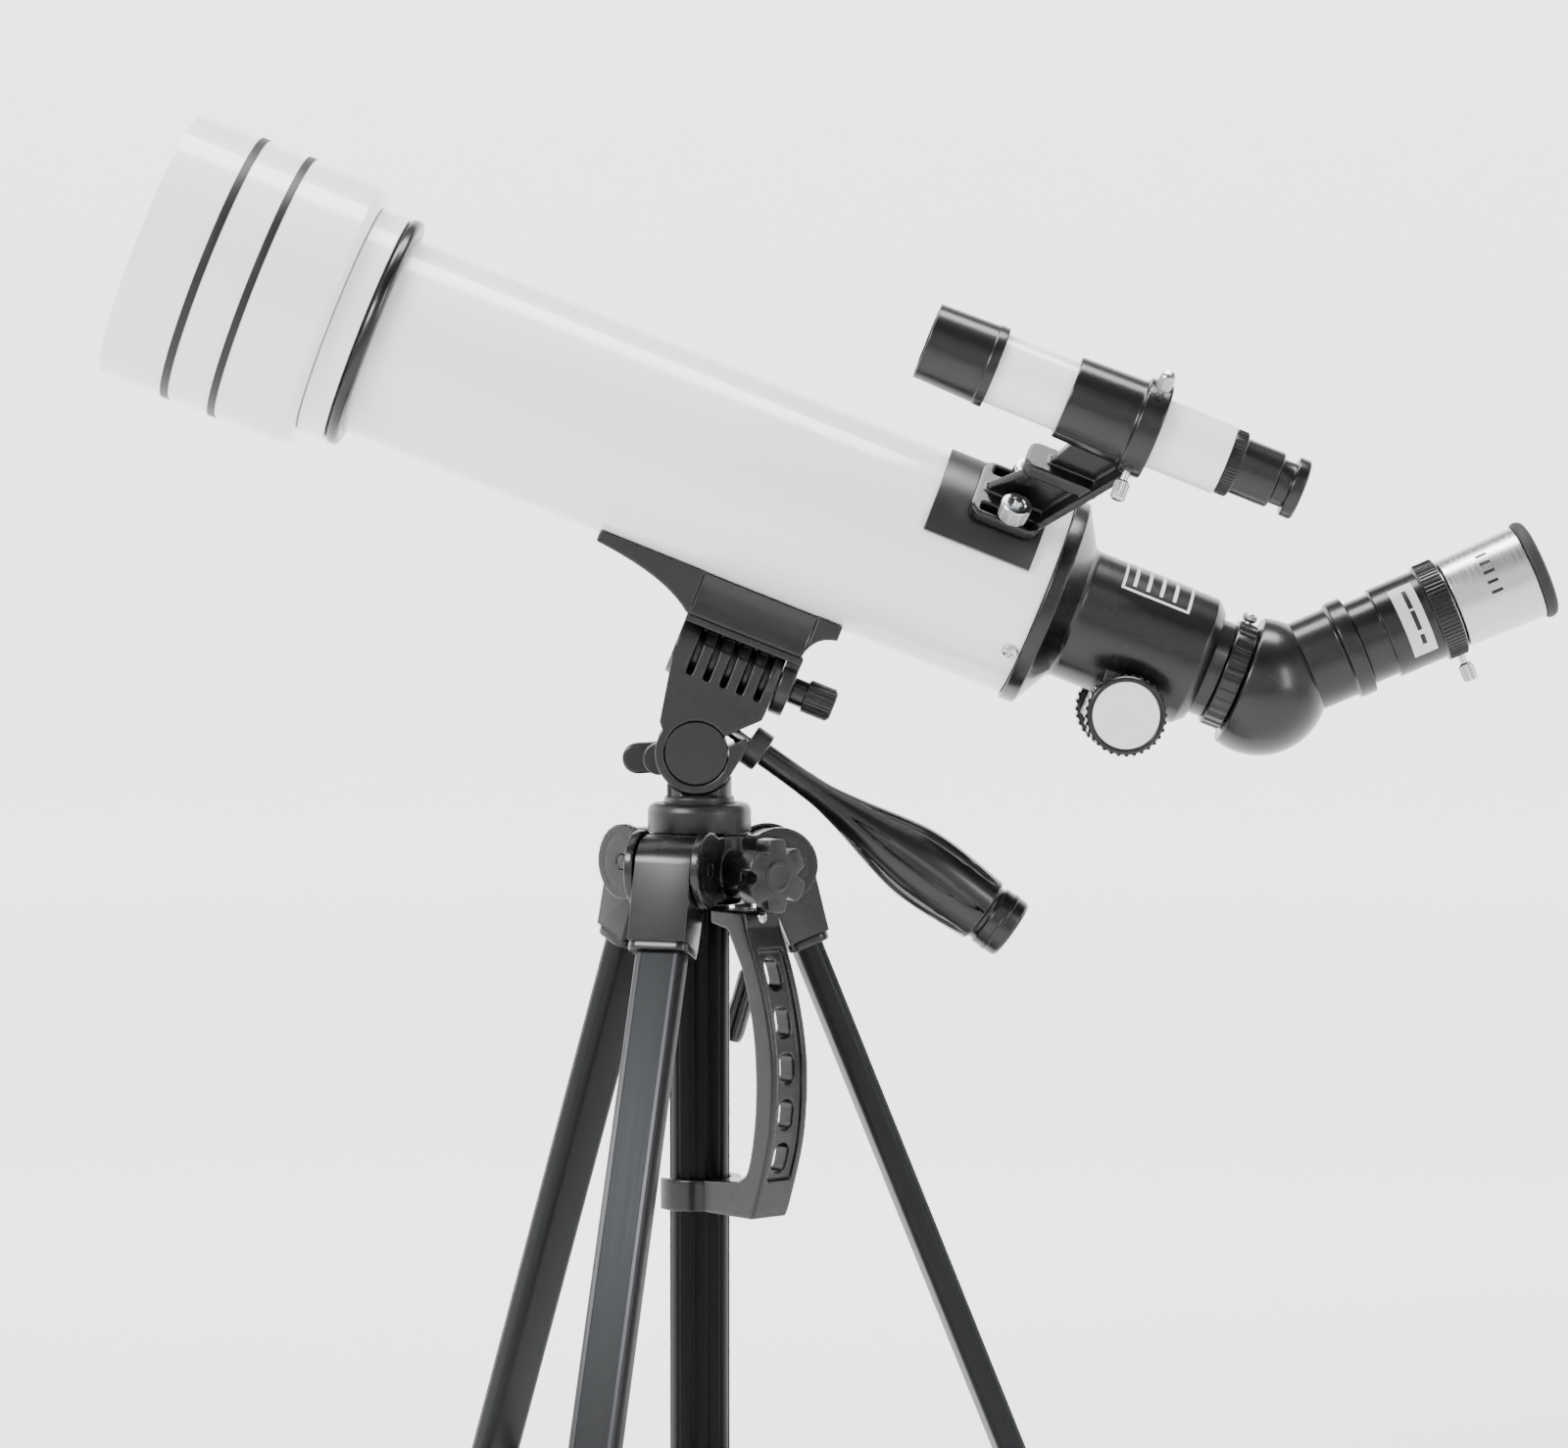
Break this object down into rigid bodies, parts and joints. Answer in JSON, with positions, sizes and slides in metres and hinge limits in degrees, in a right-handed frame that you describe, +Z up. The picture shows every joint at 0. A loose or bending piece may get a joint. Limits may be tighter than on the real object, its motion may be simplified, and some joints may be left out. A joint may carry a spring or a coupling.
{
  "type": "refractor telescope on tripod",
  "caption": "Small white refractor telescope with finder, angled eyepiece and focuser, on a pan and tilt head with a long handle and a folding tripod.",
  "frame": {"origin": "middle of the bounding box, on the floor under the tripod", "axes": "+X towards the eyepiece, -Y towards the finder's side, +Z up"},
  "size_m": [0.5688, 0.3074, 0.6346],
  "materials": {
    "white": "gloss white enamel",
    "black_gloss": "moulded gloss black",
    "black_satin": "moulded satin black",
    "graphite": "dark anodised aluminium",
    "bright_metal": "bright plated metal",
    "grey_disc": "pale grey disc in a black rim",
    "rubber": "soft black rubber",
    "glass": "coated optical glass"
  },
  "bodies": {
    "stand": {"shoulder": "black_gloss", "guide_tube": "graphite", "carry_handle": "black_gloss"},
    "column": {"centre_column": "black_satin"},
    "neck": {"pan_neck": "black_satin"},
    "tilt_head": {"tilt_block": "black_satin"},
    "tilt_wing": {"tilt_lock": "black_gloss"},
    "handle": {"pan_handle": "black_gloss"},
    "optical_tube": {"main_tube": "white", "dew_shield": "white", "cell_ring": "black_gloss", "objective_cell": "white", "objective_lens": "glass", "focuser_housing": "black_gloss", "rear_cell_screw": "bright_metal", "saddle": "black_satin", "flip_platform": "black_satin", "finder_base": "black_satin", "finder_bracket": "black_gloss", "finder_tube": "white", "finder_hood": "black_gloss", "finder_lens": "glass"},
    "side_knob": {"flip_knob": "black_gloss"},
    "lower_nut": {"finder_nut_lower": "bright_metal"},
    "upper_nut": {"finder_nut_upper": "bright_metal"},
    "finder_ocular": {"finder_eyepiece": "black_gloss"},
    "outer_screw": {"finder_screw_outer": "bright_metal"},
    "upper_screw": {"finder_screw_upper": "bright_metal"},
    "lower_screw": {"finder_screw_lower": "bright_metal"},
    "focuser_tube": {"drawtube": "black_gloss", "drawtube_collar": "black_gloss"},
    "focus_pinion": {"focus_shaft": "black_gloss", "focus_knob": "grey_disc"},
    "diagonal_lock": {"collar_screw": "bright_metal"},
    "diagonal": {"diagonal_housing": "black_gloss", "diagonal_prism": "glass"},
    "barlow": {"barlow_body": "black_gloss"},
    "eyepiece_lock": {"barlow_screw": "bright_metal"},
    "eyepiece": {"eyepiece_barrel": "bright_metal", "eyepiece_lens": "glass", "eye_cup": "rubber"},
    "column_lock": {"star_knob": "black_gloss"},
    "crank": {"crank_arm": "graphite"},
    "crank_grip": {"crank_knob": "black_gloss"},
    "hub": {"spreader_hub": "black_gloss"},
    "leg_right": {"leg_upper_right": "graphite"},
    "shank_right": {"leg_lower_right": "graphite", "foot_right": "rubber"},
    "lever_right": {"leg_lever_right": "black_gloss"},
    "strut_right": {"brace_right": "graphite"},
    "leg_back": {"leg_upper_back": "graphite"},
    "shank_back": {"leg_lower_back": "graphite", "foot_back": "rubber"},
    "lever_back": {"leg_lever_back": "black_gloss"},
    "strut_back": {"brace_back": "graphite"},
    "leg_front": {"leg_upper_front": "graphite"},
    "shank_front": {"leg_lower_front": "graphite", "foot_front": "rubber"},
    "lever_front": {"leg_lever_front": "black_gloss"},
    "strut_front": {"brace_front": "graphite"}
  },
  "joints": [
    {"name": "column_lift", "type": "slide", "parent": "stand", "child": "column", "axis": [0, 0, 1], "range_m": [0, 0.18]},
    {"name": "pan", "type": "hinge", "parent": "column", "child": "neck", "pos_m": [-0.05143, 0.01458, 0.362], "axis": [0, 0, 1], "continuous": true},
    {"name": "tilt", "type": "hinge", "parent": "neck", "child": "tilt_head", "pos_m": [-0.05263, 0.01458, 0.3861], "axis": [0, 1, 0], "range_deg": [-40, 6]},
    {"name": "tilt_wing_turn", "type": "hinge", "parent": "tilt_head", "child": "tilt_wing", "pos_m": [-0.06731, 0.03758, 0.38283], "axis": [0, 1, 0], "range_deg": [-120, 120]},
    {"name": "handle_twist", "type": "hinge", "parent": "tilt_head", "child": "handle", "pos_m": [-0.02646, 0.01458, 0.38526], "axis": [0.8146, 0, -0.58], "range_deg": [-180, 180]},
    {"name": "side_flip", "type": "hinge", "parent": "tilt_head", "child": "optical_tube", "pos_m": [-0.0391, 0.01458, 0.41984], "axis": [-0.9282, 0, 0.3722], "range_deg": [0, 90]},
    {"name": "side_knob_turn", "type": "hinge", "parent": "optical_tube", "child": "side_knob", "pos_m": [-0.00476, 0.01458, 0.40607], "axis": [0.9282, 0, -0.3722], "range_deg": [-180, 180]},
    {"name": "lower_nut_turn", "type": "hinge", "parent": "optical_tube", "child": "lower_nut", "pos_m": [0.06948, -0.02806, 0.48105], "axis": [0.2632, -0.7071, 0.6563], "continuous": true},
    {"name": "upper_nut_turn", "type": "hinge", "parent": "optical_tube", "child": "upper_nut", "pos_m": [0.0749, -0.01349, 0.49457], "axis": [0.2632, -0.7071, 0.6563], "continuous": true},
    {"name": "finder_focus", "type": "slide", "parent": "optical_tube", "child": "finder_ocular", "axis": [0.9282, 0, -0.3722], "range_m": [0, 0.006]},
    {"name": "outer_screw_turn", "type": "hinge", "parent": "optical_tube", "child": "outer_screw", "pos_m": [0.11663, -0.06037, 0.51265], "axis": [0.2632, -0.7071, 0.6563], "continuous": true},
    {"name": "upper_screw_turn", "type": "hinge", "parent": "optical_tube", "child": "upper_screw", "pos_m": [0.11663, -0.06037, 0.51265], "axis": [0.0963, 0.9659, 0.2402], "continuous": true},
    {"name": "lower_screw_turn", "type": "hinge", "parent": "optical_tube", "child": "lower_screw", "pos_m": [0.11663, -0.06037, 0.51265], "axis": [-0.3595, -0.2588, -0.8965], "continuous": true},
    {"name": "focus_slide", "type": "slide", "parent": "optical_tube", "child": "focuser_tube", "axis": [0.9282, 0, -0.3722], "range_m": [-0.004, 0.055]},
    {"name": "focus_turn", "type": "hinge", "parent": "optical_tube", "child": "focus_pinion", "pos_m": [0.11317, 0.01458, 0.40193], "axis": [0, 1, 0], "range_deg": [-38, 509]},
    {"name": "diagonal_lock_turn", "type": "hinge", "parent": "focuser_tube", "child": "diagonal_lock", "pos_m": [0.16328, 0.01458, 0.43689], "axis": [0.3722, 0, 0.9282], "continuous": true},
    {"name": "diagonal_turn", "type": "hinge", "parent": "focuser_tube", "child": "diagonal", "pos_m": [0.15927, 0.01458, 0.4148], "axis": [0.9282, 0, -0.3722], "range_deg": [-90, 90]},
    {"name": "barlow_slide", "type": "slide", "parent": "diagonal", "child": "barlow", "axis": [0.9195, 0, 0.3931], "range_m": [0, 0.016]},
    {"name": "eyepiece_lock_turn", "type": "hinge", "parent": "barlow", "child": "eyepiece_lock", "pos_m": [0.24832, 0.01458, 0.42], "axis": [0.3931, 0, -0.9195], "continuous": true},
    {"name": "eyepiece_slide", "type": "slide", "parent": "barlow", "child": "eyepiece", "axis": [0.9195, 0, 0.3931], "range_m": [0, 0.018]},
    {"name": "column_lock_turn", "type": "hinge", "parent": "stand", "child": "column_lock", "pos_m": [-0.02545, -0.01584, 0.34], "axis": [0.6494, -0.7604, 0], "continuous": true},
    {"name": "crank_turn", "type": "hinge", "parent": "stand", "child": "crank", "pos_m": [-0.03808, 0.05228, 0.34], "axis": [0.3338, 0.9426, 0], "range_deg": [0, 1650]},
    {"name": "crank_grip_turn", "type": "hinge", "parent": "crank", "child": "crank_grip", "pos_m": [-0.03031, 0.05325, 0.298], "axis": [-0.296, 0.1048, -0.9494], "continuous": true},
    {"name": "fold_right", "type": "hinge", "parent": "stand", "child": "leg_right", "pos_m": [-0.02252, 0.01994, 0.342], "axis": [-0.1822, 0.9833, 0], "range_deg": [0, 20.1]},
    {"name": "extend_right", "type": "slide", "parent": "leg_right", "child": "shank_right", "axis": [0.3699, 0.0686, -0.9265], "range_m": [0, 0.22]},
    {"name": "lever_turn_right", "type": "hinge", "parent": "leg_right", "child": "lever_right", "pos_m": [0.10319, 0.04324, 0.0561], "axis": [0.1822, -0.9833, 0], "range_deg": [0, 110]},
    {"name": "fold_back", "type": "hinge", "parent": "stand", "child": "leg_back", "pos_m": [-0.07053, 0.03694, 0.342], "axis": [-0.7604, -0.6494, 0], "range_deg": [0, 20.1]},
    {"name": "extend_back", "type": "slide", "parent": "leg_back", "child": "shank_back", "axis": [-0.2443, 0.2861, -0.9265], "range_m": [0, 0.22]},
    {"name": "lever_turn_back", "type": "hinge", "parent": "leg_back", "child": "lever_back", "pos_m": [-0.15356, 0.13416, 0.0561], "axis": [0.7604, 0.6494, 0], "range_deg": [0, 110]},
    {"name": "fold_front", "type": "hinge", "parent": "stand", "child": "leg_front", "pos_m": [-0.06125, -0.01314, 0.342], "axis": [0.9426, -0.3338, 0], "range_deg": [0, 20.1]},
    {"name": "extend_front", "type": "slide", "parent": "leg_front", "child": "shank_front", "axis": [-0.1256, -0.3546, -0.9265], "range_m": [0, 0.22]},
    {"name": "lever_turn_front", "type": "hinge", "parent": "leg_front", "child": "lever_front", "pos_m": [-0.10393, -0.13366, 0.0561], "axis": [-0.9426, 0.3338, 0], "range_deg": [0, 110]},
    {"name": "hub_slide", "type": "slide", "parent": "stand", "child": "hub", "axis": [0, 0, 1], "range_m": [0, 0.0738]},
    {"name": "strut_turn_right", "type": "hinge", "parent": "hub", "child": "strut_right", "pos_m": [-0.0298, 0.01859, 0.102], "axis": [-0.1822, 0.9833, 0], "range_deg": [0, 72.1]},
    {"name": "strut_turn_back", "type": "hinge", "parent": "hub", "child": "strut_back", "pos_m": [-0.06572, 0.03131, 0.102], "axis": [-0.7604, -0.6494, 0], "range_deg": [0, 72.1]},
    {"name": "strut_turn_front", "type": "hinge", "parent": "hub", "child": "strut_front", "pos_m": [-0.05878, -0.00616, 0.102], "axis": [0.9426, -0.3338, 0], "range_deg": [0, 72.1]}
  ],
  "couplings": [
    {"joint": "focus_turn", "follows": "focus_slide", "rad_per_m": 161.29},
    {"joint": "crank_turn", "follows": "column_lift", "rad_per_m": 157.08},
    {"joint": "fold_back", "follows": "fold_right", "ratio": 1},
    {"joint": "fold_front", "follows": "fold_right", "ratio": 1},
    {"joint": "hub_slide", "follows": "fold_right", "m_per_rad": 0.20888},
    {"joint": "strut_turn_right", "follows": "fold_right", "ratio": 3.5617},
    {"joint": "strut_turn_back", "follows": "fold_right", "ratio": 3.5617},
    {"joint": "strut_turn_front", "follows": "fold_right", "ratio": 3.5617}
  ]
}
